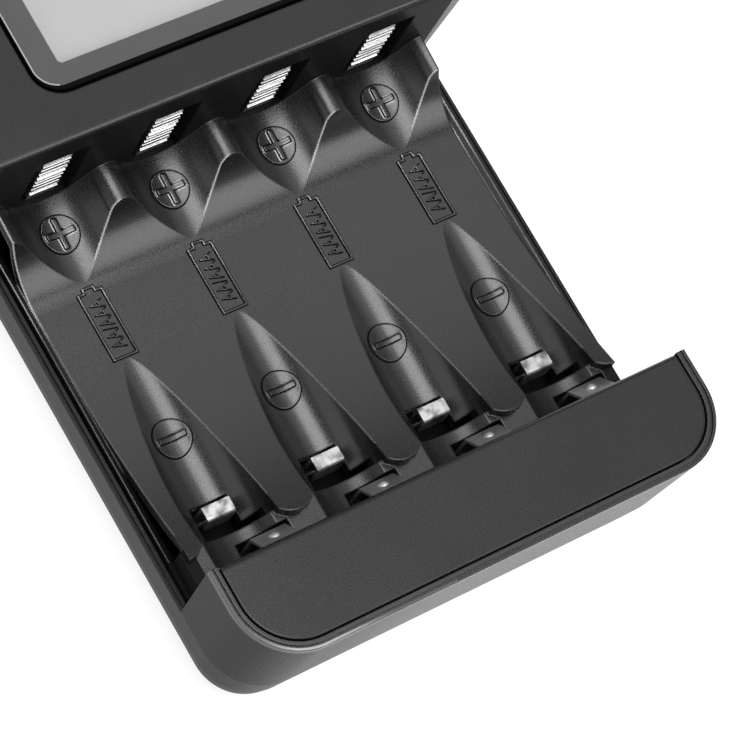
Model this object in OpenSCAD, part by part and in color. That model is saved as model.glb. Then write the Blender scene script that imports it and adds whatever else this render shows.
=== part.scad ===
// Four-bay desktop charger for AA and AAA cells.
// Millimetres. X runs across the bays, Y to the back (display end), Z up.
// The origin is the middle of the footprint, on the table.

/* [Case] */
// Width over the lip and the head
case_w = 70.4; // [68:0.2:74]
// Length from the front face to the back face
case_l = 114; // [112:1:120]
// Plan corner radius
corner_r = 8.6; // [7:0.2:10]
// Top of the side rails of the lower case
rail_z = 9.2; // [8.8:0.1:9.6]
// Top of the front lip
lip_top = 24.3; // [23:0.1:25]
// Depth of the front lip
lip_l = 13.8; // [13:0.1:15]
// Top of the display head
head_top = 27; // [26:0.1:29]
// Depth of the display head
head_l = 46.7; // [45:0.1:49]
// Wall thickness of the mouldings
wall = 1.8; // [1.6:0.1:2.2]
// Width of the bead round the lip and along the rails
bead_w = 1.2; // [1:0.05:1.4]
// Gap between the two case halves
case_gap = 0.3; // [0.2:0.05:0.4]
// Width of the case beside the outer bays
side_w = 3.2; // [3:0.1:3.6]

/* [Bays] */
// Height of the tray floor at mid length
floor_z = 9.5; // [9.3:0.1:9.8]
// Width of the rail strips beside the tray floor
strip_w = 0.9; // [0.8:0.05:1.1]
// Thickness of the tray floor
floor_t = 1.4; // [1.2:0.1:1.6]
// Radius of the valleys at the plus end, for the larger cell
plus_r = 7.4; // [7.3:0.05:7.8]
// Height of the valleys above the floor level at the contact wall
plus_rise = 1.15; // [1:0.05:1.3]
// Height of the ridges between the valleys at the contact wall
ridge_h = 5.3; // [5:0.1:5.6]
// Downward slope of the valleys toward the front, degrees
plus_tilt = 5; // [4.6:0.1:5.4]
// Depth of the ridges in front of the wall
crest_l = 5; // [4.6:0.1:5.4]
// Run of the concave slope at the plus end
back_run = 8.2; // [7.8:0.1:8.6]
// Length of the level floor between the two slopes
level_l = 6.3; // [5.8:0.1:6.8]
// Radius of the groove at the minus end, for the smaller cell
minus_r = 5.5; // [5.3:0.1:5.8]
// Height that the groove line would have at the contact wall
minus_rise = 1.25; // [1.1:0.05:1.4]
// Downward slope of the grooves toward the front, degrees
minus_tilt = 3.1; // [2.8:0.1:3.4]
// Radius of the long slope at the minus end
front_arc_r = 95; // [90:1:105]
// Depth of the sill between the tray and the lip
sill_l = 5.8; // [5.6:0.1:6]
// Radius of the troughs in the sill, for the end of the larger cell
sill_r = 7.5; // [7.4:0.05:7.6]
// Height of the troughs above the floor level
sill_rise = 1.3; // [1.1:0.1:1.5]

/* [Cells] */
// Recess of the positive strips behind the wall
plate_recess = 0.6; // [0.4:0.1:0.8]
// Distance from the lip to the touch line of the leaves; with it the larger cell has 50.5 and a bend of 0.5
leaf_gap = 4.1; // [3.9:0.1:4.3]
// Difference in length between the two cells
cell_step = 6; // [5.9:0.1:6.2]

/* [Contacts] */
// Sheet thickness of the contacts
sheet_t = 0.4; // [0.3:0.05:0.5]
// Width of the positive strips
plate_w = 4; // [3.6:0.1:4.4]
// Height of the positive strips
plate_h = 9.6; // [9:0.1:10]
// Width of the slots in the contact wall
slot_w = 7.6; // [7:0.1:8]
// Top of the slots above the floor level
slot_top = 13.3; // [12.6:0.1:13.8]
// Width of the smaller tabs
tab_w = 4; // [3.6:0.1:4.2]
// Length of the flat top of the tabs
tab_top_l = 1.5; // [1.3:0.1:1.8]
// Height of the tabs above the groove
tab_h = 2.5; // [2.3:0.1:2.7]
// Width of the sloping leaves
leaf_w = 5.1; // [4.8:0.1:5.4]
// Shift of the leaves to the right of the cell axis
leaf_shift = 3.45; // [3.2:0.05:3.7]
// Slope of the leaves, degrees above level
leaf_slope = 50; // [46:1:54]
// Length of the sloping part of a leaf
leaf_run = 5.6; // [5:0.1:6]
// Radius of the rolled root of a contact
root_r = 1; // [0.9:0.05:1.1]
// Radial clearance of a rolled root in its seat
root_play = 0.05; // [0.03:0.01:0.08]
// Height of the rolled roots above the table
root_z = 4.6; // [4.5:0.05:4.8]

/* [Display] */
// Width of the lens
lens_w = 48.6; // [47:0.2:50]
// Depth of the lens
lens_l = 34; // [32:0.2:35]
// Thickness of the lens
lens_t = 1.4; // [1.2:0.1:1.6]
// Lens corner radius
lens_r = 3.4; // [3:0.1:4]
// Distance from the contact wall to the lens
lens_y = 6.3; // [6:0.1:7]
// Gap round the lens
lens_gap = 0.5; // [0.4:0.05:0.6]

/* [Inside] */
// Thickness of the circuit board
board_t = 1.6; // [1.2:0.1:1.8]
// Height of the circuit board above the table
board_z = 10.8; // [10.4:0.1:11.2]
// Radius of the screw shanks
screw_r = 1.25; // [1.1:0.05:1.4]
// Height of the rubber feet below the case
foot_h = 1; // [0.8:0.1:1.2]
// Radius of the rubber feet
foot_r = 4; // [3.5:0.1:4.5]

/* [Hidden] */
$fn = 64;
eps = 0.01;
join = 0.5;
bays = 4;
pitch = (case_w - 2 * side_w) / bays;
function bay_x(i) = (i - (bays + 1) / 2) * pitch;
function ridge_x(k) = (k - bays / 2) * pitch;

// Outer shape: insets of the plan outline, level by level
base_z = foot_h;
base_inset = 3.4;
turn_inset = 2.2;
side_inset = 1.7;
rail_inset = 1;
turn_z = base_z + 1.5;
side_z = base_z + 3.6;
head_edge = 1;
edge_r = 0.8;

// Lines along Y
front_y = -case_l / 2;
back_y = case_l / 2;
wall_y = back_y - head_l;
lip_y = front_y + lip_l;
rib_y = lip_y + sill_l;
tray_l = wall_y - rib_y;

// Lip and rails
panel_inset = bead_w + case_gap;
panel_t = 1.8;
lip_wall_t = 1.6;
lip_wall_z = floor_z + 8;
strip_half = case_w / 2 - rail_inset - bead_w;
floor_half = strip_half - case_gap - strip_w;
sill_z = floor_z + 3.1;
sill_low = floor_z - 2.1;
sill_half = floor_half + strip_w / 3;
strip_rise = 0.5;
strip_step = 0.15;
strip_t = 2;
bead_line_w = 0.3;
bead_line_d = 0.3;

// Inner hollow of the lower case
cavity_inset = rail_inset + bead_w + case_gap + 1.2;
cavity_z = base_z + wall;

// Tray profile
level_back = wall_y - crest_l - back_run;
level_front = level_back - level_l;
crest_h = ridge_h - crest_l * tan(plus_tilt);
back_arc_r = (back_run * back_run + crest_h * crest_h) / (2 * crest_h);
function groove_at(d) = floor_z + minus_rise - d * tan(minus_tilt);
// the valley and ridge arcs meet tangent to each other
wave_h = ridge_h - plus_rise;
arcs_r = (pitch * pitch / 4 + wave_h * wave_h) / (2 * wave_h);
ridge_r = arcs_r - plus_r;
wave_z = plus_rise + plus_r - (arcs_r - wave_h) * plus_r / arcs_r;
wave_l = crest_l + back_run - 0.6;
groove_start = crest_l + back_run + level_l - 1;
tongue_l = 1.6;
tongue_w = pitch - 9.8;

// Contact places
plate_y = wall_y + plate_recess;
slot_z = floor_z + 0.9;
leaf_y = lip_y + leaf_gap;
tab_y = leaf_y + cell_step;
tab_top_z = groove_at(wall_y - tab_y) + tab_h;
hole_half = tab_w / 2 + 0.7;
hole_back = tab_y + 0.8;
slit_w = 2.2;
slit_l = 1.2;
leaf_room = 0.4;
tab_root_y = tab_y - 0.2;
leaf_root_y = leaf_y - 0.5;
leaf_knee_z = floor_z + 2.7;
dimple_at = 1.3;
dimple_r = 0.8;
dimple_h = 0.4;
knurls = 8;
knurl_r = 0.25;
seat_r = root_r + root_play;
holder_side = 2.2;
holder_half = case_w / 2 - cavity_inset - 0.5;
wire_r = 0.6;
wire_pitch = 6;

// Display stack
lens_mid_y = wall_y + lens_y + lens_l / 2;
lens_seat = 1.2;
lcd_w = lens_w - 4.4;
lcd_l = lens_l - 4.4;
lcd_t = 2;
stack_gap = 0.3;
lcd_top = head_top - lens_t - stack_gap;
light_t = 2.5;
leg_w = 2;
leg_inset = 3;
board_w = lens_w - 2.6;

// Pieces on the board
chip_w = 10;
chip_t = 1.2;
coil_r = 4.5;
coil_h = 4;
can_r = 2.5;
can_h = 5;

// Screws and feet
boss_r = 3;
boss_top = rail_z - 1.5;
screw_side = 8.2;
screw_back = 8;
screw_front = 6.8;
screw_x = case_w / 2 - screw_side;
screw_back_y = back_y - screw_back;
screw_front_y = front_y + screw_front;
screw_head_r = 2.4;
screw_head_h = 1.6;
screw_len = 12;
screw_sink = 0.6;
foot_side = 10.2;
foot_end = 19;
foot_x = case_w / 2 - foot_side;
foot_y = case_l / 2 - foot_end;
foot_seat = 0.5;

// Board posts
post_r = 2;
post_x = lens_w / 2 - 5.3;
post_y = lens_l / 2 - 4;

// Inlet at the back
socket_w = 9;
socket_h = 3.2;
socket_l = 7.4;
socket_gap = 0.3;

shell_col = [0.10, 0.10, 0.105];
metal_col = [0.80, 0.80, 0.80];

// Rectangle with round corners, centred
module round_rect(w, l, r) {
    square([w - 2 * r, l], center = true);
    square([w, l - 2 * r], center = true);
    for (x = [-1, 1], y = [-1, 1])
        translate([x * (w / 2 - r), y * (l / 2 - r)])
            circle(r);
}

// Plan outline of the case, moved inwards
module plan(inset) {
    round_rect(case_w - 2 * inset, case_l - 2 * inset, corner_r - inset);
}

// One thin level of the outer shape
module level(z, inset) {
    translate([0, 0, z])
        linear_extrude(height = eps)
            plan(inset);
}

// Outer shape of the whole charger
module outer_shape() {
    hull() {
        level(base_z, base_inset);
        level(turn_z, turn_inset);
        level(side_z, side_inset);
        level(rail_z, rail_inset);
        level(lip_top, 0);
        level(head_top - head_edge, 0);
        level(head_top - head_edge / 3, head_edge / 3);
        level(head_top - eps, head_edge);
    }
}

// Space in front of a line across the case
module before(y, z0, z1) {
    translate([-case_w, y - case_l, z0])
        cube([2 * case_w, case_l, z1 - z0]);
}

// Space behind a line across the case
module behind(y, z0, z1) {
    translate([-case_w, y, z0])
        cube([2 * case_w, case_l, z1 - z0]);
}

// Extrude a profile drawn in Y and Z across the case
module across(half) {
    translate([-half, 0, 0])
        rotate([90, 0, 90])
            linear_extrude(height = 2 * half)
                children();
}

module at_screws() {
    for (x = [-1, 1], y = [screw_front_y, screw_back_y])
        translate([x * screw_x, y, 0])
            children();
}

module at_board_posts() {
    for (x = [-1, 1], y = [-1, 1])
        translate([x * post_x, lens_mid_y + y * post_y, 0])
            children();
}

module at_feet() {
    for (x = [-1, 1], y = [-1, 1])
        translate([x * foot_x, y * foot_y, 0])
            children();
}

// Fine line cut in the top of the bead
module bead_line(z) {
    translate([0, 0, z - bead_line_d])
        linear_extrude(height = bead_line_d + eps)
            difference() {
                plan((z > rail_z ? 0 : rail_inset) + 0.4);
                plan((z > rail_z ? 0 : rail_inset) + 0.4 + bead_line_w);
            }
}

module lower_case() {
    color(shell_col)
    difference() {
        intersection() {
            outer_shape();
            union() {
                behind(lip_y, 0, rail_z);
                before(lip_y + eps, 0, lip_top);
            }
        }
        // hollow
        difference() {
            translate([0, 0, cavity_z])
                linear_extrude(height = head_top)
                    plan(cavity_inset);
            at_screws()
                cylinder(r = boss_r, h = boss_top);
            at_board_posts()
                cylinder(r = post_r, h = board_z);
        }
        // seat for the rim of the upper case
        translate([0, 0, rail_z - strip_t - case_gap])
            linear_extrude(height = head_top)
                plan(rail_inset + bead_w);
        // seat for the lip panel
        intersection() {
            before(lip_y + 1, lip_top - panel_t - case_gap, head_top);
            translate([0, 0, base_z])
                linear_extrude(height = head_top)
                    plan(bead_w);
        }
        bead_line(rail_z);
        intersection() {
            before(lip_y, 0, head_top);
            bead_line(lip_top);
        }
        at_screws() {
            translate([0, 0, base_z - eps])
                cylinder(r = screw_head_r + 0.2, h = screw_head_h + screw_sink + eps);
            cylinder(r = screw_r + 0.2, h = rail_z);
        }
        at_feet()
            translate([0, 0, base_z - eps])
                cylinder(r = foot_r, h = foot_seat + eps);
    }
}

// Free space over the tray floor, drawn in Y and Z
module tray_air() {
    top = 1.5 * head_top;
    translate([level_front, floor_z])
        square([level_l, top]);
    intersection() {
        translate([level_back, floor_z + back_arc_r])
            circle(back_arc_r, $fn = 128);
        translate([level_back, floor_z])
            square([back_arc_r, back_arc_r]);
    }
    translate([level_back, floor_z + back_arc_r])
        square([back_arc_r, top]);
    intersection() {
        translate([level_front, floor_z + front_arc_r])
            circle(front_arc_r, $fn = 256);
        translate([rib_y - tray_l, floor_z])
            square([level_front - rib_y + tray_l, top]);
    }
}

// Free space over valleys and ridges at the plus end, drawn in X and Z from the floor level
module wave_air() {
    difference() {
        union() {
            translate([-case_w, wave_z])
                square([2 * case_w, head_top]);
            for (i = [1 : bays])
                translate([bay_x(i), plus_rise + plus_r])
                    circle(plus_r, $fn = 96);
        }
        for (k = [0 : bays])
            translate([ridge_x(k), ridge_h - ridge_r])
                circle(ridge_r + eps, $fn = 48);
    }
}

// The same space run along the tilted valleys
module plus_air() {
    translate([0, wall_y, floor_z])
        rotate([plus_tilt, 0, 0])
            translate([0, 3, 0])
                rotate([90, 0, 0])
                    linear_extrude(height = wave_l + 3)
                        wave_air();
}

// Round rod along each groove at the minus end
module minus_air(grow) {
    for (i = [1 : bays])
        translate([bay_x(i), wall_y, floor_z + minus_rise])
            rotate([minus_tilt, 0, 0])
                translate([0, -groove_start, minus_r])
                    rotate([90, 0, 0])
                        cylinder(r = minus_r + grow, h = tray_l + 6 - groove_start, $fn = 96);
}

// Plan of the tray: a rectangle with a round-ended tongue at the front between bays
module tray_plan() {
    translate([-floor_half, rib_y - join])
        square([2 * floor_half, tray_l + 2 * join]);
    tongues();
}

// Round-ended tongues, drawn in plan
module tongues() {
    intersection() {
        for (k = [0 : bays])
            translate([ridge_x(k), rib_y - tongue_l + tongue_w / 2])
                circle(tongue_w / 2);
        translate([-floor_half, rib_y - 2 * tongue_l])
            square([2 * floor_half, 2 * tongue_l + join]);
    }
}

module tray() {
    difference() {
        intersection() {
            union() {
                translate([0, 0, -floor_t])
                    across(case_w)
                        tray_air();
                translate([0, 0, -floor_t])
                    plus_air();
                minus_air(floor_t);
            }
            linear_extrude(height = floor_z + ridge_h)
                tray_plan();
        }
        across(case_w)
            tray_air();
        plus_air();
        minus_air(0);
        // hole for each tab, with a side slit
        for (i = [1 : bays])
            translate([bay_x(i), rib_y - 2 * join, 0]) {
                translate([-hole_half, 0, 0])
                    cube([2 * hole_half, hole_back - rib_y + 2 * join, head_top]);
                cube([hole_half + slit_w, slit_l + 2 * join, head_top]);
            }
    }
}

// Rail strips that join tray, wall and lip at the sides
module side_strips() {
    for (s = [0, 1])
        mirror([s, 0, 0])
            translate([0, wall_y + wall, 0])
                rotate([90, 0, 0])
                    linear_extrude(height = wall_y + wall - lip_y)
                        polygon([
                            [floor_half - 0.4, rail_z - strip_t],
                            [strip_half - case_gap, rail_z - strip_t],
                            [strip_half - case_gap, floor_z + strip_rise],
                            [floor_half, floor_z - strip_step],
                            [floor_half - 0.4, floor_z - 4 * strip_step]
                        ]);
}

// Sill in front of the tray, lip rear wall and side posts
module lip_frame() {
    side_x = strip_half - case_gap;
    slot_l = leaf_shift - leaf_w / 2 - 3.5 * leaf_room;
    slot_r = leaf_shift + leaf_w / 2 + leaf_room;
    difference() {
        translate([-sill_half, lip_y - lip_wall_t, sill_low])
            cube([2 * sill_half, lip_wall_t + sill_l, sill_z - sill_low]);
        for (i = [1 : bays])
            translate([bay_x(i), lip_y - lip_l, floor_z + sill_rise + sill_r])
                rotate([-90, 0, 0])
                    cylinder(r = sill_r, h = 2 * lip_l, $fn = 96);
        // slot for each leaf
        for (i = [1 : bays])
            translate([bay_x(i) + slot_l, lip_y - 2 * lip_wall_t, sill_low - 1])
                cube([slot_r - slot_l, leaf_y + 0.1 - lip_y + 2 * lip_wall_t, head_top]);
    }
    translate([-side_x, lip_y - lip_wall_t, lip_wall_z])
        cube([2 * side_x, lip_wall_t, lip_top - lip_wall_z]);
    for (s = [0, 1])
        mirror([s, 0, 0]) {
            translate([side_x - 1.8, lip_y - lip_wall_t, rail_z - strip_t])
                cube([1.8, lip_wall_t + 0.2, lip_top - 2 - rail_z + strip_t]);
            translate([side_x - 1.8, lip_y - 0.2, rail_z - strip_t + 0.1])
                cube([1, sill_l - 2.5, floor_z + 2.4 - rail_z + strip_t]);
        }
}

// What a rounded top edge across the case takes away; side is 1 when the solid lies behind the edge
module edge_cut(y, z, side) {
    across(case_w)
        difference() {
            translate([y - edge_r, z - edge_r])
                square(2 * edge_r);
            translate([y + side * edge_r, z - edge_r])
                circle(edge_r);
        }
}

// Top panel of the front lip
module lip_panel() {
    intersection() {
        before(lip_y, lip_top - panel_t, lip_top);
        linear_extrude(height = head_top)
            plan(panel_inset);
    }
}

// Slot for the positive strip in each bay
module wall_slots() {
    for (i = [1 : bays])
        translate([bay_x(i) - slot_w / 2, wall_y, slot_z])
            cube([slot_w, wall + 1, floor_z + slot_top - slot_z]);
}

// Head shell with the window for the lens
module head_shell() {
    difference() {
        intersection() {
            outer_shape();
            behind(wall_y, rail_z + case_gap, head_top);
        }
        linear_extrude(height = head_top - lens_t - lens_seat)
            intersection() {
                plan(wall + 0.6);
                translate([-case_w, wall_y + wall])
                    square([2 * case_w, case_l]);
            }
        // seat and window of the lens
        translate([0, lens_mid_y, head_top - lens_t])
            linear_extrude(height = lens_t + 1)
                round_rect(lens_w + 2 * lens_gap, lens_l + 2 * lens_gap, lens_r + lens_gap);
        translate([0, lens_mid_y, head_top / 2])
            linear_extrude(height = head_top)
                round_rect(lens_w - 3, lens_l - 3, lens_r - 1.5);
        edge_cut(wall_y, head_top, 1);
        // inlet
        translate([-socket_w / 2 - socket_gap, back_y - socket_l, board_z + board_t - socket_gap])
            cube([socket_w + 2 * socket_gap, 2 * socket_l, socket_h + 2 * socket_gap]);
    }
}

// Posts that take the case screws
module screw_posts() {
    for (x = [-1, 1]) {
        translate([x * screw_x, screw_back_y, boss_top])
            difference() {
                cylinder(r = boss_r, h = head_top - lens_t - lens_seat - boss_top + 0.2);
                translate([0, 0, -1])
                    cylinder(r = screw_r - 0.05, h = screw_len);
            }
        translate([x * screw_x, screw_front_y, boss_top])
            difference() {
                cylinder(r = boss_r, h = lip_top - panel_t - boss_top + 0.2);
                translate([0, 0, -1])
                    cylinder(r = screw_r - 0.05, h = screw_len);
            }
    }
}

module upper_case() {
    color(shell_col)
    difference() {
        union() {
            tray();
            side_strips();
            lip_frame();
            lip_panel();
            head_shell();
            screw_posts();
        }
        wall_slots();
        edge_cut(lip_y, lip_top, -1);
    }
}

module display_lens() {
    color([0.45, 0.46, 0.47, 0.9])
    translate([0, lens_mid_y, head_top - lens_t])
        linear_extrude(height = lens_t)
            round_rect(lens_w, lens_l, lens_r);
}

module lcd_panel() {
    color([0.85, 0.86, 0.86])
    translate([-lcd_w / 2, lens_mid_y - lcd_l / 2, lcd_top - lcd_t])
        cube([lcd_w, lcd_l, lcd_t]);
}

module backlight_panel() {
    light_z = lcd_top - lcd_t - light_t;
    color("white") {
        translate([-lcd_w / 2 + 1, lens_mid_y - lcd_l / 2 + 1, light_z])
            cube([lcd_w - 2, lcd_l - 2, light_t]);
        // legs that stand on the circuit board
        for (x = [-1, 1], y = [-1, 1])
            translate([x * (lcd_w / 2 - leg_inset), lens_mid_y + y * (lcd_l / 2 - leg_inset), board_z + board_t])
                translate([-leg_w / 2, -leg_w / 2, 0])
                    cube([leg_w, leg_w, light_z - board_z - board_t + 0.5]);
    }
}

module main_board() {
    color("darkgreen")
    translate([-board_w / 2, wall_y + wall + 2.6, board_z])
        cube([board_w, head_l - wall - 2.6 - 2.8, board_t]);
}

module controller_chip() {
    color("black")
    translate([-chip_w, lens_mid_y - chip_w / 2, board_z + board_t])
        cube([chip_w, chip_w, chip_t]);
}

module power_coil() {
    color("dimgray")
    translate([2 * coil_r, lens_mid_y, board_z + board_t])
        difference() {
            cylinder(r = coil_r, h = coil_h);
            translate([0, 0, coil_h / 2])
                cylinder(r = coil_r / 2, h = coil_h);
        }
}

module capacitors() {
    color("silver")
    for (k = [2, 5])
        translate([-k * can_r, lens_mid_y - lcd_l / 2 + leg_inset, board_z + board_t])
            cylinder(r = can_r, h = can_h);
}

module power_socket() {
    color(metal_col)
    translate([0, back_y - 1.2 - socket_l, board_z + board_t])
        difference() {
            translate([-socket_w / 2, 0, 0])
                cube([socket_w, socket_l, socket_h]);
            translate([-socket_w / 2 + 0.4, socket_l - 5.8, 0.4])
                cube([socket_w - 0.8, 6, socket_h - 0.8]);
        }
}

module contact_holder() {
    holder_back = tab_root_y + holder_side;
    holder_front = leaf_root_y - holder_side;
    holder_low = cavity_z;
    holder_top = root_z + 1;
    color([0.16, 0.16, 0.17])
    difference() {
        translate([-holder_half, holder_front, holder_low])
            cube([2 * holder_half, holder_back - holder_front, holder_top - holder_low]);
        for (i = [1 : bays]) {
            root_seat(bay_x(i), tab_root_y, tab_w + 0.4);
            root_seat(bay_x(i) + leaf_shift, leaf_root_y, leaf_w + 0.4);
        }
    }
}

// Bore for a rolled root, with a throat that lets the leaf turn
module root_seat(x, y, w) {
    translate([x - w / 2, y, root_z])
        rotate([0, 90, 0])
            cylinder(r = seat_r, h = w);
    translate([x - w / 2, y - 0.7, root_z])
        cube([w, 1.4, 4]);
}

module link_wires() {
    start_y = tab_root_y + holder_side;
    end_y = wall_y + wall + wire_pitch;
    wire_z = cavity_z + wire_r + 0.3;
    color("firebrick")
    for (k = [1 : bays])
        translate([(k - (bays + 1) / 2) * wire_pitch, 0, 0]) {
            translate([0, start_y, wire_z])
                rotate([-90, 0, 0])
                    cylinder(r = wire_r, h = end_y - start_y);
            translate([0, end_y, wire_z])
                sphere(wire_r);
            translate([0, end_y, wire_z])
                cylinder(r = wire_r, h = board_z - wire_z);
        }
}

module case_screws() {
    color(metal_col)
    at_screws()
        translate([0, 0, base_z + screw_sink]) {
            cylinder(r = screw_head_r, h = screw_head_h);
            cylinder(r = screw_r, h = screw_len);
        }
}

module rubber_feet() {
    color([0.2, 0.2, 0.2])
    at_feet()
        cylinder(r = foot_r - 0.1, h = foot_h + foot_seat);
}

// Ridged strip in the slot of the contact wall, with wings behind the wall and a tail on the board
module positive_contact(i) {
    low = slot_z + 0.6;
    wing_y = wall_y + wall;
    tail_l = 6;
    color(metal_col)
    translate([bay_x(i), 0, 0]) {
        translate([-plate_w / 2, plate_y, low])
            cube([plate_w, sheet_t, plate_h]);
        for (k = [0 : knurls - 1])
            translate([-plate_w / 2, plate_y, low + 1.6 + k * (plate_h - 2.4) / (knurls - 1)])
                rotate([0, 90, 0])
                    cylinder(r = knurl_r, h = plate_w, $fn = 24);
        for (x = [-plate_w / 2, plate_w / 2 - sheet_t])
            translate([x, plate_y, low])
                cube([sheet_t, wing_y + sheet_t - plate_y, plate_h]);
        for (s = [0, 1])
            mirror([s, 0, 0])
                translate([plate_w / 2 - sheet_t, wing_y, low + plate_h / 2])
                    cube([slot_w / 2 + 1.2 - plate_w / 2 + sheet_t, sheet_t, plate_h / 2]);
        translate([-plate_w / 2, wing_y, board_z + board_t])
            cube([plate_w, tail_l, sheet_t]);
    }
}

// Sprung tab for the smaller cell, a strip folded over at the top
module aaa_contact(i) {
    top_r = 0.6;
    fold_l = 2.4;
    fold_y = tab_y - tab_top_l;
    color(metal_col)
    translate([bay_x(i), 0, 0]) {
        translate([-tab_w / 2, tab_root_y, root_z])
            rotate([0, 90, 0])
                cylinder(r = root_r, h = tab_w);
        across(tab_w / 2) {
            translate([tab_y - sheet_t, root_z])
                square([sheet_t, tab_top_z - root_z]);
            translate([fold_y, tab_top_z - sheet_t])
                square([tab_top_l, sheet_t]);
            intersection() {
                translate([fold_y, tab_top_z - top_r])
                    difference() {
                        circle(top_r);
                        circle(top_r - sheet_t);
                    }
                translate([fold_y - 2 * top_r, tab_top_z - top_r])
                    square(2 * top_r);
            }
            translate([fold_y - top_r, tab_top_z - top_r - fold_l])
                square([sheet_t, fold_l]);
        }
    }
}

// Sprung sloping leaf for the larger cell, with a pressed dimple
module aa_contact(i) {
    dome_r = (dimple_r * dimple_r + dimple_h * dimple_h) / (2 * dimple_h);
    color(metal_col)
    translate([bay_x(i) + leaf_shift, 0, 0]) {
        translate([-leaf_w / 2, leaf_root_y, root_z])
            rotate([0, 90, 0])
                cylinder(r = root_r, h = leaf_w);
        across(leaf_w / 2) {
            translate([leaf_root_y - sheet_t / 2, root_z])
                square([sheet_t, leaf_knee_z - root_z]);
            translate([leaf_root_y, leaf_knee_z])
                rotate(180 - leaf_slope)
                    translate([-sheet_t / 3, -sheet_t / 2])
                        square([leaf_run, sheet_t]);
        }
        translate([0, leaf_root_y, leaf_knee_z])
            rotate([-leaf_slope, 0, 0])
                translate([0, -dimple_at, 0])
                    intersection() {
                        translate([0, 0, sheet_t / 2 + dimple_h - dome_r])
                            sphere(dome_r, $fn = 32);
                        translate([-dome_r, -dome_r, 0])
                            cube(2 * dome_r);
                    }
    }
}

lower_case();
upper_case();
display_lens();
lcd_panel();
backlight_panel();
main_board();
controller_chip();
power_coil();
capacitors();
power_socket();
contact_holder();
link_wires();
case_screws();
rubber_feet();
positive_contact(1);  // positive_contact_1
positive_contact(2);  // positive_contact_2
positive_contact(3);  // positive_contact_3
positive_contact(4);  // positive_contact_4
aa_contact(1);  // aa_contact_1
aa_contact(2);  // aa_contact_2
aa_contact(3);  // aa_contact_3
aa_contact(4);  // aa_contact_4
aaa_contact(1);  // aaa_contact_1
aaa_contact(2);  // aaa_contact_2
aaa_contact(3);  // aaa_contact_3
aaa_contact(4);  // aaa_contact_4
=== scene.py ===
"""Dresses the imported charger.

Plastic, metal and display finishes, raised marks in the bays, stage and camera.
"""

import math

import bpy
from mathutils import Matrix, Vector


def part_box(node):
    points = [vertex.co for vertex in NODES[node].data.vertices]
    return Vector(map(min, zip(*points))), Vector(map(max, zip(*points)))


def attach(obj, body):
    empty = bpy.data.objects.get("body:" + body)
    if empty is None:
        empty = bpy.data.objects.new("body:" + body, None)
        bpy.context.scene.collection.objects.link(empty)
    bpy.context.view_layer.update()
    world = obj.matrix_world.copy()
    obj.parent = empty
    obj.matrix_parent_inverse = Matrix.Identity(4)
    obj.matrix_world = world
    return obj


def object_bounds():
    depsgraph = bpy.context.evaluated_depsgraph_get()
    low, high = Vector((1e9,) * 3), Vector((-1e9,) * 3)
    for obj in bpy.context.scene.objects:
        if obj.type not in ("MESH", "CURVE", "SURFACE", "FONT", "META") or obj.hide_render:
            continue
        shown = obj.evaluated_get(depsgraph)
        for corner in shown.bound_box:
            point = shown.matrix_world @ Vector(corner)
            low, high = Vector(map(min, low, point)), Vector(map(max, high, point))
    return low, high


bl_info = {
    "name": "Four-bay charger",
    "version": (1, 0, 0),
    "blender": (4, 5, 0),
    "location": "View3D > Sidebar > Charger",
    "description": "Finishes, raised marks and stage for a four-bay cell charger",
    "category": "Object",
}

MM = 0.001
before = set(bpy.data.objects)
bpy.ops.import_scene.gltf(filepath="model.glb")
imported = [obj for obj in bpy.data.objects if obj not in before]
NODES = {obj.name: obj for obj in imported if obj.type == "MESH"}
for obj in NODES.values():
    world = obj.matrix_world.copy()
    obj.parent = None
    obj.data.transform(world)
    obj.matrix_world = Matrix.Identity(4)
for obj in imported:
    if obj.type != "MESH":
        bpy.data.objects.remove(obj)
CAD_BOX = [list(corner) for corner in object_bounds()]
BODY = "charger"
TRAY = NODES["upper_case"]
BAYS = (1, 2, 3, 4)


def middle(node):
    """Middle of a CAD node's box."""
    low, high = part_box(node)
    return (low + high) / 2


FRONT_Y = CAD_BOX[0][1]
CASE_HALF_X, CASE_HALF_Y, DECK_Z = CAD_BOX[1]
CASE_CORNER = 8.6 * MM
CASE_SIDE = 1.7 * MM
# top of the lower case, where its bead runs round the lip
SHELL_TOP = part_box("lower_case")[1].z
LENS_LOW, LENS_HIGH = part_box("display_lens")
LENS_MID = (LENS_LOW + LENS_HIGH) / 2
BAY_X = [middle(f"aaa_contact_{bay}").x for bay in BAYS]

# front face of the contact wall, a little in front of the strips' ridges
STRIP_INSET = 0.35 * MM
WALL_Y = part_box("positive_contact_1")[0].y - STRIP_INSET
WALL_HALF = CASE_HALF_X - CASE_SIDE

# back edge and top of the sill between tray and lip, from the tabs behind it
SILL_BEFORE_TAB = 2.1 * MM
SILL_OVER_TAB = 1.7 * MM
TAB_LOW, TAB_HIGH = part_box("aaa_contact_1")
SILL_Y = TAB_LOW.y - SILL_BEFORE_TAB
SILL_Z = TAB_HIGH.z + SILL_OVER_TAB

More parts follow.
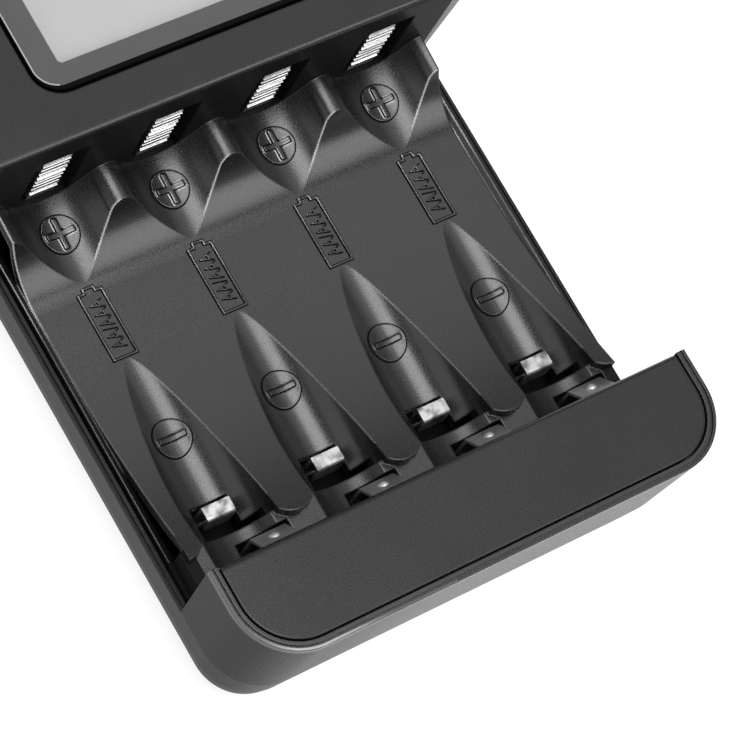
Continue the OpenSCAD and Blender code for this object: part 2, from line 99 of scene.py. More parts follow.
# where the case plastic changes: single edges, and from-to pairs
# the WALL_ and SILL_ values also bound the painted shade on the contact wall and the sill
WALL_BAND = (WALL_Y - 0.1 * MM, WALL_Y + 4 * MM)
WALL_TOP = DECK_Z - 0.4 * MM
SILL_BAND = (SILL_Y - 6 * MM, SILL_Y)
SILL_END = BAY_X[-1] + 6.5 * MM
SILL_END_RISE = 1 * MM
FRONT_FADE = (FRONT_Y + 1 * MM, FRONT_Y + 4 * MM)
FRONT_SHINE = (-28 * MM, -5 * MM)
BEAD_FADE = (SHELL_TOP - 1.2 * MM, SHELL_TOP - 0.6 * MM)
FLAT_TOPS = SHELL_TOP - 0.9 * MM
TRAY_BAND = (SILL_Y + 2 * MM, WALL_Y - 0.3 * MM)
# PLUS_END grades the painted highlight on the edges in the tray
PLUS_END = (WALL_Y - 18 * MM, WALL_Y - 12 * MM)
# LAND_DEPTH, LAND_END, CORNER_RISE and CORNER_FALL place the painted highlight on the bead
LAND_DEPTH = (0.1 * MM, 0.4 * MM)
LAND_END = -8 * MM
CORNER_RISE = (-35 * MM, -30 * MM)
CORNER_FALL = (-27 * MM, -16 * MM)

# printed border of the lens, the painted shade round it and the painted highlight at its left end
BORDER_X = 3.7 * MM
BORDER_Y = 3.3 * MM
WINDOW_CORNER = 0.6 * MM
PRINT_CORNER = 3.1 * MM
BLACK_SIDE = 0.12 * MM
BLACK_FRONT = 0.6 * MM
GLINT_WIDTH = 0.18 * MM
GLINT_REACH = 2.4 * MM

# marks are drawn flat, this high, and then dropped on the tray
HOVER = 0.1
SUNK = 0.12 * MM
DISC_SIDES = 72
DISC_RINGS = 6
BAR_CUTS = 5
CELL_CUTS = 3
LETTER_STEPS = 3
# room round the letters in the cell outline, both sides together
LETTER_END_ROOM = 2.6 * MM
LETTER_SIDE_ROOM = 0.9 * MM
# chamfers of the marks, and the angles at which an edge is chamfered or shaded sharp
DISC_EDGE = 0.2 * MM
BAR_EDGE = 0.15 * MM
CELL_EDGE = 0.13 * MM
LETTER_EDGE = 0.06 * MM
CHAMFER_ANGLE = math.radians(50)
SHARP_ANGLE = math.radians(40)
TINY = 1e-6

# place and size of each light, in metres
LIGHTS = {
    "top": ((-0.06, -0.08, 1.06), (0.62, 0.76)),
    "front": ((0.47, -0.55, 0.84), (0.5, 0.75)),
    "right": ((0.5, 0.32, 0.95), (0.6, 0.6)),
    "left": ((-0.95, 0.2, 0.6), (0.8, 0.8)),
}
FLOOR_SIZE = 6
FLOOR_GLOW = 0.85
SENSOR_WIDTH = 36
CLIP = (0.01, 20)


class ChargerMarks(bpy.types.PropertyGroup):
    """Sizes of the raised marks in the bays."""

    disc: bpy.props.FloatProperty(
        name="Disc", description="Diameter of the raised discs", default=5.3 * MM, unit="LENGTH"
    )
    bar_length: bpy.props.FloatProperty(
        name="Bar length", description="Length of the bars on the discs",
        default=4.2 * MM, unit="LENGTH",
    )
    bar_width: bpy.props.FloatProperty(
        name="Bar width", description="Width of the bars on the discs",
        default=0.85 * MM, unit="LENGTH",
    )
    step: bpy.props.FloatProperty(
        name="Step", description="Height of a mark above what it lies on",
        default=0.22 * MM, unit="LENGTH",
    )
    plus_reach: bpy.props.FloatProperty(
        name="Plus reach", description="From the contact wall to the plus discs",
        default=4.9 * MM, unit="LENGTH",
    )
    minus_reach: bpy.props.FloatProperty(
        name="Minus reach", description="From the contact wall to the minus discs",
        default=33.7 * MM, unit="LENGTH",
    )
    cell_reach: bpy.props.FloatProperty(
        name="Cell reach", description="From the contact wall to the near end of the cell outline",
        default=12.1 * MM, unit="LENGTH",
    )
    cell_length: bpy.props.FloatProperty(
        name="Cell length", description="Length of the cell outline with its nub",
        default=10.2 * MM, unit="LENGTH",
    )
    cell_width: bpy.props.FloatProperty(
        name="Cell width", description="Width of the cell outline",
        default=3.74 * MM, unit="LENGTH",
    )
    cell_line: bpy.props.FloatProperty(
        name="Cell line", description="Width of the line of the cell outline",
        default=0.42 * MM, unit="LENGTH",
    )
    nub_width: bpy.props.FloatProperty(
        name="Nub width", description="Width of the nub of the cell outline",
        default=1.9 * MM, unit="LENGTH",
    )
    nub_length: bpy.props.FloatProperty(
        name="Nub length", description="Length of the nub of the cell outline",
        default=0.6 * MM, unit="LENGTH",
    )


class ChargerColours(bpy.types.PropertyGroup):
    """Colours of the finishes."""

    case: bpy.props.FloatVectorProperty(
        name="Case", description="Black plastic of the case",
        subtype="COLOR", size=3, default=(0.007, 0.007, 0.0073),
    )
    metal: bpy.props.FloatVectorProperty(
        name="Metal", description="Plated contact strip",
        subtype="COLOR", size=3, default=(0.82, 0.82, 0.81),
    )
    border: bpy.props.FloatVectorProperty(
        name="Border", description="Printed border of the lens",
        subtype="COLOR", size=3, default=(0.029, 0.0295, 0.03),
    )
    display: bpy.props.FloatVectorProperty(
        name="Display", description="Plain display face",
        subtype="COLOR", size=3, default=(0.39, 0.393, 0.393),
    )
    floor: bpy.props.FloatVectorProperty(
        name="Floor", description="Floor under the charger",
        subtype="COLOR", size=3, default=(0.16, 0.16, 0.16),
    )


class ChargerStage(bpy.types.PropertyGroup):
    """Camera and lights."""

    azimuth: bpy.props.FloatProperty(
        name="Azimuth", description="Camera direction round the charger",
        default=math.radians(-65.494), subtype="ANGLE",
    )
    elevation: bpy.props.FloatProperty(
        name="Elevation", description="Camera height above the horizon",
        default=math.radians(59.987), subtype="ANGLE",
    )
    roll: bpy.props.FloatProperty(
        name="Roll", description="Turn of the camera about its view",
        default=math.radians(38.064), subtype="ANGLE",
    )
    distance: bpy.props.FloatProperty(
        name="Distance", description="From the camera to the point it looks at",
        default=0.48, unit="LENGTH",
    )
    aim: bpy.props.FloatVectorProperty(
        name="Aim", description="Point that the camera looks at", size=3, unit="LENGTH",
        default=(4.259 * MM, -25.243 * MM, 8.558 * MM),
    )
    lens: bpy.props.FloatProperty(
        name="Lens", description="Focal length in millimetres", default=189.5
    )
    top: bpy.props.FloatProperty(
        name="Top light", description="Power of the soft light overhead", default=13
    )
    front: bpy.props.FloatProperty(
        name="Front light", description="Power of the soft light on the slopes", default=5.4
    )
    right: bpy.props.FloatProperty(
        name="Right light", description="Power of the soft light from the right", default=1.4
    )
    left: bpy.props.FloatProperty(
        name="Left light", description="Power of the soft light from the left", default=2.0
    )
    sky: bpy.props.FloatProperty(
        name="Sky", description="Strength of the even light all round", default=0.5
    )


class Value:
    """A node socket whose arithmetic adds Math nodes."""

    def __init__(self, finish, socket):
        self.finish = finish
        self.socket = socket

    def math(self, operation, *others):
        sockets = dict(enumerate((self, *others)))
        return self.finish.node("ShaderNodeMath", {"operation": operation}, sockets)

    def __add__(self, other):
        return self.math("ADD", other)

    __radd__ = __add__

    def __sub__(self, other):
        return self.math("SUBTRACT", other)

    def __rsub__(self, other):
        return self.finish.node("ShaderNodeMath", {"operation": "SUBTRACT"}, {0: other, 1: self})

    def __mul__(self, other):
        return self.math("MULTIPLY", other)

    __rmul__ = __mul__

    def __lt__(self, other):
        return self.math("LESS_THAN", other)

    def __gt__(self, other):
        return self.math("GREATER_THAN", other)

    def __abs__(self):
        return self.math("ABSOLUTE")

    def between(self, low, high):
        """1 from low to high, 0 outside."""
        return (self > low) * (self < high)

    def smooth(self, low, high):
        """0 below low, 1 above high, smooth between."""
        return self.finish.node(
            "ShaderNodeMapRange",
            {"interpolation_type": "SMOOTHSTEP"},
            {"Value": self, "From Min": low, "From Max": high},
        )


class Finish:
    """One procedural material."""

    def __init__(self, name):
        self.material = bpy.data.materials.new(name)
        self.material.use_nodes = True
        self.tree = self.material.node_tree
        self.tree.nodes.clear()
        self.output = self.tree.nodes.new("ShaderNodeOutputMaterial")
        self.place = self.node("ShaderNodeTexCoord", out="Object")

    def node(self, kind, settings=None, sockets=None, out=0):
        """Adds a node, with its settings first, and gives the socket that comes out of it."""
        made = self.tree.nodes.new(kind)
        for name, setting in (settings or {}).items():
            setattr(made, name, setting)
        for name, given in (sockets or {}).items():
            if isinstance(given, Value):
                self.tree.links.new(given.socket, made.inputs[name])
            else:
                made.inputs[name].default_value = given
        return Value(self, made.outputs[out])

    def axis(self, name, vector=None):
        """X, Y or Z of the place on the piece, or of another vector."""
        return self.node("ShaderNodeSeparateXYZ", sockets={0: vector or self.place}, out=name)

    def outside(self, half_x, half_y, corner, mid_x=0.0, mid_y=0.0):
        """Distance outside a rounded rectangle seen from above, less than 0 just inside it."""
        out_x = (abs(self.axis("X") - mid_x) - (half_x - corner)).math("MAXIMUM", 0.0)
        out_y = (abs(self.axis("Y") - mid_y) - (half_y - corner)).math("MAXIMUM", 0.0)
        return (out_x * out_x + out_y * out_y).math("SQRT") - corner

    def noise(self, scale, detail=2.0, vector=None):
        """Soft random pattern."""
        sockets = {"Vector": vector or self.place, "Scale": scale, "Detail": detail}
        return self.node("ShaderNodeTexNoise", sockets=sockets)

    def stretched(self, x, y, z):
        """The place on the piece, scaled along each axis."""
        return self.node("ShaderNodeMapping", sockets={"Vector": self.place, "Scale": (x, y, z)})

    def shades(self, factor, dark, light):
        """A colour between two shades."""
        dark, light = (
            shade if isinstance(shade, Value) else (*shade, 1) for shade in (dark, light)
        )
        sockets = {0: factor, 6: dark, 7: light}
        return self.node("ShaderNodeMix", {"data_type": "RGBA"}, sockets, out=2)

    def bump(self, height, distance, strength, normal=None):
        """Normal of a surface raised by height, on top of another normal if there is one."""
        sockets = {"Height": height, "Distance": distance, "Strength": strength}
        if normal:
            sockets["Normal"] = normal
        return self.node("ShaderNodeBump", sockets=sockets)

    def worn_edge(self, radius):
        """Normal that rounds off edges."""
        return self.node("ShaderNodeBevel", {"samples": 6}, {"Radius": radius})

    def sharpness(self, worn):
        """0 on plain faces, rising over edges that worn rounds off."""
        face = self.node("ShaderNodeNewGeometry", out="Normal")
        sockets = {0: worn, 1: face}
        return 1 - self.node(
            "ShaderNodeVectorMath", {"operation": "DOT_PRODUCT"}, sockets, out="Value"
        )

    def done(self, matt=None, **sockets):
        """Ends the material with a surface shader of these sockets, dulled by the share matt."""
        named = {name.replace("_", " "): given for name, given in sockets.items()}
        surface = self.node("ShaderNodeBsdfPrincipled", sockets=named)
        if matt is not None:
            sockets = {
                "Base Color": named["Base Color"],
                "Roughness": 0.9,
                "Specular IOR Level": 0.05,
            }
            dull = self.node("ShaderNodeBsdfPrincipled", sockets=sockets)
            surface = self.node("ShaderNodeMixShader", sockets={0: matt, 1: surface, 2: dull})
        self.tree.links.new(surface.socket, self.output.inputs["Surface"])
        return self.material


def scaled(colour, by):
    """The colour made lighter or darker."""
    return tuple(channel * by for channel in colour)


def case_plastic(colour, name, dull, tray_side, radius):
    """Black plastic with a fine spark-eroded grain.

    Where the switch for the tray is 1 it is duller on the flat tops, and dulled on the contact
    wall and the sill as painted shade; edges that lean left in the tray are lighter, a painted
    highlight, most at the plus end. Where the switch is 0 the outer land of the bead is
    lighter at the left front corner, a painted highlight.
    A dull plastic keeps more of its shine on the front wall and on the bead round the lip.
    """
    f = Finish(name)
    grain = f.noise(5600, detail=1.0)
    cloud = f.noise(70)
    mottle = grain * 0.6 + cloud * 0.4
    x, y, z = f.axis("X"), f.axis("Y"), f.axis("Z")
    # wall and sill: painted shade, the plastic dulled near black on the contact wall and the sill
    wall = y.between(*WALL_BAND) * (z < WALL_TOP) * (abs(x) < WALL_HALF)
    end = abs(x) > SILL_END
    sill = y.between(*SILL_BAND) * (z < SILL_Z + end * SILL_END_RISE) * (0.45 + 0.5 * end)
    front = 1 - y.smooth(*FRONT_FADE)
    bead = z.smooth(*BEAD_FADE) * (y < SILL_Y)
    shine = (front * (0.15 + 0.35 * x.smooth(*FRONT_SHINE))).math("MAXIMUM", bead)
    worn = f.worn_edge(radius)
    level = (z > FLAT_TOPS) * f.axis("Z", worn).smooth(0.8, 0.98)
    tray = y.between(*TRAY_BAND) * (f.axis("X", worn) < -0.1)
    share = 0.15 + 0.75 * y.smooth(*PLUS_END)
    depth = 0 - f.outside(CASE_HALF_X, CASE_HALF_Y, CASE_CORNER)
    corner = x.smooth(*CORNER_RISE) * (1 - x.smooth(*CORNER_FALL))
    # painted highlight on the outer land of the bead, brightest near the left front corner
    land = depth.between(*LAND_DEPTH) * bead * (0.08 + 0.5 * corner) * (x < LAND_END)
    # painted highlight: lighter edges that lean left in the tray, most at the plus end, and the
    # bead's painted highlight where the switch is 0
    painted_highlight = f.sharpness(worn).smooth(0.005, 0.025) * tray * share * tray_side + land * (1 - tray_side)
    plain = f.shades(mottle.smooth(0.3, 0.7), scaled(colour, 0.72), scaled(colour, 1.3))
    return f.done(
        # painted shade on the contact wall and the sill, duller flat tops, and the dull share
        # elsewhere
        matt=((wall * 0.85 + sill + level * 0.38) * tray_side).math("MAXIMUM", dull * (1 - shine)),
        # grey of the painted highlights
        Base_Color=f.shades(painted_highlight, plain, (0.4, 0.4, 0.4)),
        Roughness=0.16 + 0.12 * grain.smooth(0.3, 0.7) + 0.04 * cloud,
        Specular_IOR_Level=0.45,
        Normal=f.bump(grain, 0.0095 * MM, 0.8, worn),
    )


def strip_metal(
    colour, name, rough=0.16, soil_scale=420, soiled=0.72, ridge_step=0.0, ridge_height=0.0
):
    """Bright plated sheet with fine draw lines, soiled in patches.

    It has cross ridges where they are given a height.
    """
    f = Finish(name)
    drawn = f.noise(900, detail=3.0, vector=f.stretched(14, 1, 1))
    soil = f.noise(soil_scale)
    normal = f.bump(drawn, 0.006 * MM, 0.6, f.worn_edge(0.08 * MM))
    if ridge_height:
        ridge = f.node(
            "ShaderNodeTexWave",
            {"wave_type": "BANDS", "bands_direction": "Z", "wave_profile": "SIN"},
            {
                "Vector": f.place,
                "Scale": math.tau / (20 * ridge_step),
                "Distortion": 0.8,
                "Detail": 1.0,
            },
            out=1,
        )
        normal = f.bump(ridge, ridge_height, 1.0, normal)
    return f.done(
        Base_Color=f.shades(soil.smooth(0.35, 0.7), colour, scaled(colour, soiled)),
        Metallic=1.0,
        Roughness=rough + 0.18 * drawn + 0.08 * soil,
        Normal=normal,
    )


def lens_print(border):
    """Clear window with a printed grey border.

    Round the print the edge of the lens is painted near black and dull, painted shade of the
    gap round the lens, widest at the front. A thin line at the left end of the print is
    lighter, a painted highlight.
    """
    f = Finish("display_window")
    half = (LENS_HIGH - LENS_LOW) / 2
    window = f.outside(
        half.x - BORDER_X, half.y - BORDER_Y, WINDOW_CORNER, LENS_MID.x, LENS_MID.y
    )
    edge = f.outside(
        half.x - BLACK_SIDE, half.y - BLACK_FRONT / 2, PRINT_CORNER,
        LENS_MID.x, LENS_MID.y + BLACK_FRONT / 2,
    )
    printed = window.smooth(-0.05 * MM, 0.05 * MM)
    # painted shade: the edge of the lens near black, standing in for the shade of the gap round it
    black = edge.smooth(-0.03 * MM, 0.03 * MM)
    # painted highlight: a thin light line at the left end of the print
    painted_glint = (edge > -GLINT_WIDTH) * (f.axis("X") < LENS_LOW.x + GLINT_REACH)
    cloud = f.noise(240, detail=3.0)
    grey = f.shades(cloud.smooth(0.3, 0.7), scaled(border, 0.94), scaled(border, 1.06))
    grey = f.shades(painted_glint * 0.7, grey, (0.3, 0.3, 0.3))
    return f.done(
        matt=black,
        Base_Color=f.shades(black, grey, (0.002, 0.002, 0.002)),
        Roughness=0.10 + 0.06 * cloud,
        Alpha=0.10 + 0.90 * printed,
        Specular_IOR_Level=0.5,
        Normal=f.bump(cloud, 0.01 * MM, 0.2, f.worn_edge(0.15 * MM)),
    )


def display_face(colour):
    """Plain light display with faint vertical streaks, painted a little lighter to the front."""
    f = Finish("plain_display")
    # painted light: the display a little lighter towards the front
    along = f.axis("Y").smooth(LENS_LOW.y, LENS_HIGH.y)
    streak = f.noise(60, vector=f.stretched(3, 0.4, 1))
    mottle = along * 0.7 + streak * 0.3
    return f.done(
        Base_Color=f.shades(mottle, scaled(colour, 1.03), scaled(colour, 0.97)),
        Roughness=0.45 + 0.1 * streak,
    )


def moulded(name, colour, grain_scale, rough, spread=0.2, metallic=0.0):
    """Plain moulded or cast stuff for the feet and the inner pieces."""
    f = Finish(name)
    grain = f.noise(grain_scale, detail=3.0)
    dark, light = scaled(colour, 1 - spread), scaled(colour, 1 + spread)
    return f.done(
        Base_Color=f.shades(grain.smooth(0.3, 0.7), dark, light),
        Roughness=rough - 0.1 + 0.2 * grain,
        Metallic=metallic,
        Normal=f.bump(grain, 0.03 * MM, 0.4),
    )


def board_laminate(colour):
    """Circuit board with copper tracks under the lacquer."""
    f = Finish("board_laminate")
    tracks = f.node(
        "ShaderNodeTexBrick",
        {"offset": 0.5},
        {"Vector": f.place, "Scale": 260, "Mortar Size": 0.12, "Mortar Smooth": 0.1},
        out=1,
    )
    weave = f.noise(2600)
    return f.done(
        Base_Color=f.shades(tracks, colour, scaled(colour, 1.9)),
        Roughness=0.3 + 0.15 * weave,
        Normal=f.bump(tracks, 0.03 * MM, 0.5),
    )


def finish_with(material, *names):
    """Puts one material on CAD nodes."""
    for name in names:
        mesh = NODES[name].data
        mesh.materials.clear()
        mesh.materials.append(material)


def bare():
    """Object mode with nothing selected."""
    if bpy.context.mode != "OBJECT":
        bpy.ops.object.mode_set(mode="OBJECT")
    bpy.ops.object.select_all(action="DESELECT")


def choose(obj):
    """Selects the object alone, in object mode, and makes it active."""
    bare()
    obj.select_set(True)
    bpy.context.view_layer.objects.active = obj


def pick_edges(obj, test):
    """Selects, in edit mode, the edges of the object whose middle passes a test."""
    bpy.ops.object.mode_set(mode="OBJECT")
    mesh = obj.data
    for group in (mesh.vertices, mesh.edges, mesh.polygons):
        group.foreach_set("select", [False] * len(group))
    for edge in mesh.edges:
        first, second = (mesh.vertices[end].co for end in edge.vertices)
        edge.select = test(obj.matrix_world @ ((first + second) / 2))
    bpy.ops.object.mode_set(mode="EDIT")
    bpy.ops.mesh.select_mode(type="EDGE")


def draw_out(x, y):
    """Extrudes the selected edges by this much."""
    bpy.ops.mesh.extrude_edges_move(TRANSFORM_OT_translate={"value": (x, y, 0)})


def settle(obj):
    """Applies the object's place, turn and scale to its mesh."""
    choose(obj)
    bpy.ops.object.transform_apply(location=True, rotation=True, scale=True)


def apply_modifier(obj, kind, **settings):
    """Adds a modifier with these settings and applies it."""
    choose(obj)
    modifier = obj.modifiers.new(kind.lower(), kind)
    for name, setting in settings.items():
        setattr(modifier, name, setting)
    bpy.ops.object.modifier_apply(modifier=modifier.name)


def flat_disc(name, radius, x, y):
    """Flat disc of concentric rings, high over the tray."""
    bare()
    bpy.ops.mesh.primitive_circle_add(vertices=DISC_SIDES, radius=radius, location=(x, y, HOVER))
    disc = bpy.context.object
    disc.name = name
    bpy.ops.object.mode_set(mode="EDIT")
    bpy.ops.mesh.select_all(action="SELECT")
    for ring in range(DISC_RINGS - 1, 0, -1):
        factor = ring / (ring + 1)
        bpy.ops.mesh.extrude_edges_move()
        bpy.ops.transform.resize(value=(factor, factor, 1), center_override=(x, y, HOVER))
    bpy.ops.mesh.extrude_edges_move()
    bpy.ops.mesh.merge(type="CENTER")
    bpy.ops.mesh.select_all(action="SELECT")
    bpy.ops.mesh.normals_make_consistent(inside=False)
    settle(disc)
    return disc


def flat_bar(name, length, width, x, y):
    """Flat bar across the bay, high over the tray."""
    bare()
    bpy.ops.mesh.primitive_plane_add(size=width, location=(x, y, HOVER))
    bar = bpy.context.object
    bar.name = name
    for side in (-1, 1):
        pick_edges(bar, lambda spot: side * (spot.x - x) > width * 0.4)
        draw_out(side * (length - width) / 2, 0)
    bpy.ops.mesh.select_all(action="SELECT")
    bpy.ops.mesh.subdivide(number_cuts=BAR_CUTS)
    settle(bar)
    return bar


def flat_cross(name, length, width, x, y):
    """Flat cross: a bar with the long sides of its middle square drawn out."""
    cross = flat_bar(name, length, width, x, y)
    near = width * 0.49
    for side in (-1, 1):
        pick_edges(cross, lambda spot: side * (spot.y - y) > near and abs(spot.x - x) < near)
        draw_out(0, side * (length - width) / 2)
    bpy.ops.mesh.select_all(action="SELECT")
    bpy.ops.mesh.remove_doubles(threshold=TINY)
    bpy.ops.mesh.normals_make_consistent(inside=False)
    settle(cross)
    return cross


def flat_cell(name, m, x):
    """Flat outline of a cell with its nub, high over the tray."""
    back = WALL_Y - m.cell_reach - m.nub_length
    front = WALL_Y - m.cell_reach - m.cell_length
    bare()
    bpy.ops.mesh.primitive_plane_add(size=1, location=(x, (back + front) / 2, HOVER))
    cell = bpy.context.object
    cell.name = name
    cell.scale = (m.cell_width, back - front, 1)
    settle(cell)
    bpy.ops.object.mode_set(mode="EDIT")
    for side in (-1, 1):
        bpy.ops.mesh.select_all(action="SELECT")
        bpy.ops.mesh.bisect(plane_co=(x + side * m.nub_width / 2, 0, 0), plane_no=(1, 0, 0))
    pick_edges(cell, lambda spot: spot.y > back - TINY and abs(spot.x - x) < m.nub_width / 4)
    draw_out(0, m.nub_length)
    bpy.ops.mesh.select_all(action="SELECT")
    bpy.ops.mesh.select_mode(type="FACE")
    bpy.ops.mesh.dissolve_faces()
    bpy.ops.mesh.select_all(action="SELECT")
    bpy.ops.mesh.inset(thickness=m.cell_line)
    bpy.ops.mesh.delete(type="FACE")
    bpy.ops.mesh.select_all(action="SELECT")
    bpy.ops.mesh.subdivide(number_cuts=CELL_CUTS)
    settle(cell)
    return cell


def flat_letters(name, words, m, x):
    """Flat size letters that read along the cell outline."""
    length = m.cell_length - m.nub_length - LETTER_END_ROOM
    height = m.cell_width - 2 * m.cell_line - LETTER_SIDE_ROOM
    middle_y = WALL_Y - m.cell_reach - m.nub_length - (m.cell_length - m.nub_length) / 2
    bare()
    bpy.ops.object.text_add(location=(0, 0, 0))
    letters = bpy.context.object
    letters.name = name
    letters.data.body = words
    letters.data.resolution_u = LETTER_STEPS
    bpy.ops.object.convert(target="MESH")
    letters = bpy.context.object
    low = Vector([min(v.co[i] for v in letters.data.vertices) for i in range(3)])
    high = Vector([max(v.co[i] for v in letters.data.vertices) for i in range(3)])
    centre = (low + high) / 2
    fit = Matrix.Diagonal((length / (high.x - low.x), height / (high.y - low.y), 1, 1))
    turn = Matrix.Rotation(math.radians(90), 4, "Z")
    place = Matrix.Translation((x, middle_y, HOVER))
    letters.matrix_world = place @ turn @ fit @ Matrix.Translation(-centre)
    settle(letters)
    return letters


def lay_on_tray(obj, height, edge):
    """Drops a flat mark on the tray and raises it, with chamfers and sides in painted shade."""
    obj.data.materials.append(case_material())
    obj.data.materials.append(edge_material())
    apply_modifier(
        obj, "SHRINKWRAP", target=TRAY, wrap_method="PROJECT", use_project_z=True,
        use_negative_direction=True, use_positive_direction=False, cull_face="OFF",
    )
    full = height + SUNK
    apply_modifier(
        obj, "SOLIDIFY", thickness=full, offset=1 - 2 * SUNK / full, material_offset_rim=1
    )
    apply_modifier(
        obj, "BEVEL", width=edge, segments=1, limit_method="ANGLE",
        angle_limit=CHAMFER_ANGLE, material=1,
    )
    choose(obj)
    bpy.ops.object.shade_smooth_by_angle(angle=SHARP_ANGLE)


def repeat_over_bays(name, parts):
    """Copies the first bay's mark to every bay and joins them to one piece."""
    copies = []
    for x in BAY_X:
        for part in parts:
            twin = part.copy()
            twin.data = part.data.copy()
            twin.data.transform(Matrix.Translation((x - BAY_X[0], 0, 0)))
            bpy.context.scene.collection.objects.link(twin)
            copies.append(twin)
    for part in parts:
        bpy.data.objects.remove(part)
    bare()
    for twin in copies:
        twin.select_set(True)
    bpy.context.view_layer.objects.active = copies[0]
    bpy.ops.object.join()
    joined = bpy.context.object
    joined.name = name
    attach(joined, BODY)


def disc_marks(kind, reach, flat_bars):
    """Raised discs, this far from the contact wall, with higher bars on them."""
    m = bpy.context.scene.charger_marks
    x, y = BAY_X[0], WALL_Y - reach
    disc = flat_disc(f"{kind}_disc", m.disc / 2, x, y)
    bars = flat_bars(f"{kind}_bars", m.bar_length, m.bar_width, x, y)
    lay_on_tray(disc, m.step, DISC_EDGE)
    lay_on_tray(bars, 2 * m.step, BAR_EDGE)
    repeat_over_bays(f"{kind}_marks", [disc, bars])


def kept(name, dull=0.0, shade=1.0, tray_side=1.0, radius=0.35 * MM):
    """The case plastic of this name, made when it is first asked for."""
    colour = scaled(bpy.context.scene.charger_colours.case, shade)
    return bpy.data.materials.get(name) or case_plastic(colour, name, dull, tray_side, radius)


def case_material():
    """Grained plastic of the upper case, with painted highlight and painted shade in the tray."""
    return kept("spark_black_plastic")


def shell_material():
    """Duller plastic of the lower case, with a painted highlight on its bead."""
    return kept("satin_black_plastic", dull=0.65, tray_side=0.0, radius=0.14 * MM)


def edge_material():
    """Darker, dullest plastic: painted shade on the mark edges and on the contact holder."""
    return kept("dull_mark_edge", dull=0.97, shade=0.35, tray_side=0.0)


class CHARGER_OT_case(bpy.types.Operator):
    """Gives the case mouldings their grained plastic"""

    bl_idname = "charger.case"
    bl_label = "Case finish"

    def execute(self, context):
        finish_with(case_material(), "upper_case")
        # the contact holder gets the painted shade of the mark edges
        finish_with(edge_material(), "contact_holder")
        finish_with(shell_material(), "lower_case")
        finish_with(moulded("foot_rubber", (0.035, 0.035, 0.035), 2200, 0.8), "rubber_feet")
        return {"FINISHED"}


class CHARGER_OT_plus_marks(bpy.types.Operator):
    """Models the raised plus discs beside the contact wall"""

    bl_idname = "charger.plus_marks"
    bl_label = "Plus marks"

    def execute(self, context):
        disc_marks("plus", context.scene.charger_marks.plus_reach, flat_cross)
        return {"FINISHED"}


class CHARGER_OT_minus_marks(bpy.types.Operator):
    """Models the raised minus discs in the grooves"""

    bl_idname = "charger.minus_marks"
    bl_label = "Minus marks"

    def execute(self, context):
        disc_marks("minus", context.scene.charger_marks.minus_reach, flat_bar)
        return {"FINISHED"}


class CHARGER_OT_cell_marks(bpy.types.Operator):
    """Models the raised cell outlines with their size letters"""

    bl_idname = "charger.cell_marks"
    bl_label = "Cell marks"

    def execute(self, context):
        m = context.scene.charger_marks
        cell = flat_cell("cell_outline", m, BAY_X[0])
        letters = flat_letters("cell_letters", "AA/AAA", m, BAY_X[0])
        lay_on_tray(cell, m.step, CELL_EDGE)
        lay_on_tray(letters, m.step, LETTER_EDGE)
        repeat_over_bays("cell_marks", [cell, letters])
        return {"FINISHED"}


class CHARGER_OT_display(bpy.types.Operator):
    """Gives the lens its printed border and the display its plain face"""

    bl_idname = "charger.display"
    bl_label = "Display finish"

    def execute(self, context):
        c = context.scene.charger_colours
        diffuser = moulded("diffuser_white", (0.8, 0.8, 0.79), 900, 0.5, spread=0.03)
        finish_with(lens_print(c.border), "display_lens")
        finish_with(display_face(c.display), "lcd_panel")
        finish_with(diffuser, "backlight_panel")
        return {"FINISHED"}


class CHARGER_OT_contacts(bpy.types.Operator):
    """Gives the contact strips their plated finish"""

    bl_idname = "charger.contacts"
    bl_label = "Contact finish"

    def execute(self, context):
        metal = context.scene.charger_colours.metal
        strip = strip_metal(
            scaled(metal, 0.64), "ridged_strip", ridge_step=0.32 * MM, ridge_height=0.08 * MM
        )
        tab = strip_metal(
            scaled(metal, 0.42), "plated_tab", rough=0.33, soil_scale=700, soiled=0.25
        )
        leaf = strip_metal(scaled(metal, 0.6), "plated_leaf", rough=0.34)
        for bay in BAYS:
            finish_with(strip, f"positive_contact_{bay}")
            finish_with(tab, f"aaa_contact_{bay}")
            finish_with(leaf, f"aa_contact_{bay}")
        return {"FINISHED"}


class CHARGER_OT_inside(bpy.types.Operator):
    """Gives the inner pieces and the inlet their finishes"""

    bl_idname = "charger.inside"
    bl_label = "Inner finishes"

    def execute(self, context):
        can = moulded("capacitor_can", (0.7, 0.7, 0.71), 900, 0.35, spread=0.06, metallic=1.0)
        steel = moulded("socket_steel", (0.55, 0.55, 0.55), 1600, 0.35, spread=0.1, metallic=1.0)
        finish_with(board_laminate((0.02, 0.11, 0.05)), "main_board")
        finish_with(moulded("chip_package", (0.03, 0.03, 0.03), 2600, 0.6), "controller_chip")
        finish_with(moulded("coil_ferrite", (0.1, 0.1, 0.1), 1800, 0.7), "power_coil")
        finish_with(can, "capacitors")
        finish_with(steel, "power_socket", "case_screws")
        finish_with(moulded("wire_sleeve", (0.32, 0.03, 0.02), 1400, 0.5), "link_wires")
        return {"FINISHED"}


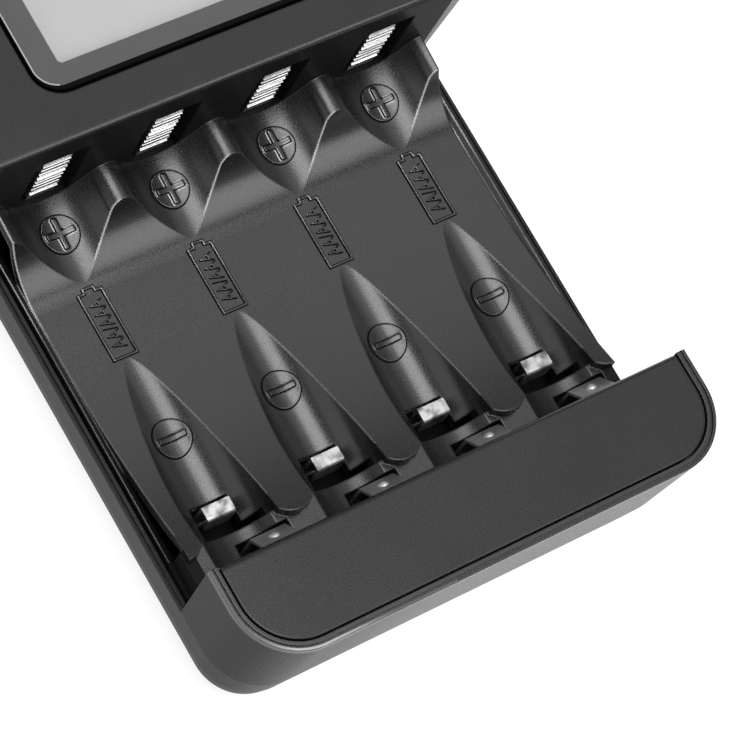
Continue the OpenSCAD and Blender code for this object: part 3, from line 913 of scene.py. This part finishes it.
class CHARGER_OT_stage(bpy.types.Operator):
    """Sets the floor, the soft light and the camera"""

    bl_idname = "charger.stage"
    bl_label = "Stage"

    def execute(self, context):
        s = context.scene.charger_stage
        self.floor(context.scene.charger_colours.floor)
        self.sky(context, s.sky)
        for side, (place, size) in LIGHTS.items():
            self.light(f"{side}_light", place, size, getattr(s, side))
        self.camera(context, s)
        return {"FINISHED"}

    def floor(self, colour):
        bare()
        bpy.ops.mesh.primitive_plane_add(size=FLOOR_SIZE, location=(0, 0, 0))
        floor = bpy.context.object
        floor.name = "floor"
        f = Finish("pale_floor")
        cloud = f.noise(3)
        floor.data.materials.append(
            f.done(
                Base_Color=f.shades(cloud, scaled(colour, 0.98), colour),
                Roughness=0.6 + 0.1 * cloud,
                Emission_Color=(1, 1, 1, 1),
                Emission_Strength=FLOOR_GLOW,
            )
        )

    def sky(self, context, strength):
        world = bpy.data.worlds.new("studio")
        context.scene.world = world
        world.use_nodes = True
        ground = world.node_tree.nodes["Background"]
        ground.inputs["Color"].default_value = (1, 1, 1, 1)
        ground.inputs["Strength"].default_value = strength
        context.scene.view_settings.view_transform = "Standard"

    def light(self, name, place, size, power):
        bare()
        bpy.ops.object.light_add(type="AREA", location=place)
        lamp = bpy.context.object
        lamp.name = name
        lamp.data.shape = "RECTANGLE"
        lamp.data.size, lamp.data.size_y = size
        lamp.data.energy = power
        lamp.rotation_mode = "QUATERNION"
        lamp.rotation_quaternion = (-Vector(place)).to_track_quat("-Z", "Y")

    def camera(self, context, s):
        back = Vector((
            math.sin(s.azimuth) * math.cos(s.elevation),
            -math.cos(s.azimuth) * math.cos(s.elevation),
            math.sin(s.elevation),
        ))
        level = Vector((math.cos(s.azimuth), math.sin(s.azimuth), 0))
        steep = back.cross(level)
        right = level * math.cos(s.roll) + steep * math.sin(s.roll)
        up = steep * math.cos(s.roll) - level * math.sin(s.roll)
        place = Vector(s.aim) + back * s.distance
        bare()
        bpy.ops.object.camera_add()
        camera = bpy.context.object
        camera.name = "camera"
        camera.matrix_world = Matrix(
            [(right[i], up[i], back[i], place[i]) for i in range(3)] + [(0, 0, 0, 1)]
        )
        camera.data.sensor_width = SENSOR_WIDTH
        camera.data.lens = s.lens
        camera.data.clip_start, camera.data.clip_end = CLIP
        context.scene.camera = camera


class CHARGER_PT_panel(bpy.types.Panel):
    """Lists the charger's pieces and finishes"""

    bl_idname = "CHARGER_PT_panel"
    bl_label = "Charger"
    bl_space_type = "VIEW_3D"
    bl_region_type = "UI"
    bl_category = "Charger"

    def draw(self, context):
        for step in STEPS:
            self.layout.operator(step.bl_idname)
        for name in GROUPS:
            group = getattr(context.scene, name)
            box = self.layout.box()
            for field in group.__annotations__:
                box.prop(group, field)


STEPS = (
    CHARGER_OT_case,
    CHARGER_OT_plus_marks,
    CHARGER_OT_minus_marks,
    CHARGER_OT_cell_marks,
    CHARGER_OT_display,
    CHARGER_OT_contacts,
    CHARGER_OT_inside,
    CHARGER_OT_stage,
)
GROUPS = {
    "charger_marks": ChargerMarks,
    "charger_colours": ChargerColours,
    "charger_stage": ChargerStage,
}


def register():
    for made in (*GROUPS.values(), *STEPS, CHARGER_PT_panel):
        bpy.utils.register_class(made)
    for name, group in GROUPS.items():
        setattr(bpy.types.Scene, name, bpy.props.PointerProperty(type=group))


def unregister():
    for name in GROUPS:
        delattr(bpy.types.Scene, name)
    for made in (CHARGER_PT_panel, *reversed(STEPS), *reversed(GROUPS.values())):
        bpy.utils.unregister_class(made)


def main():
    register()
    for step in STEPS:
        group, name = step.bl_idname.split(".")
        getattr(getattr(bpy.ops, group), name)()


if __name__ == "__main__":
    main()
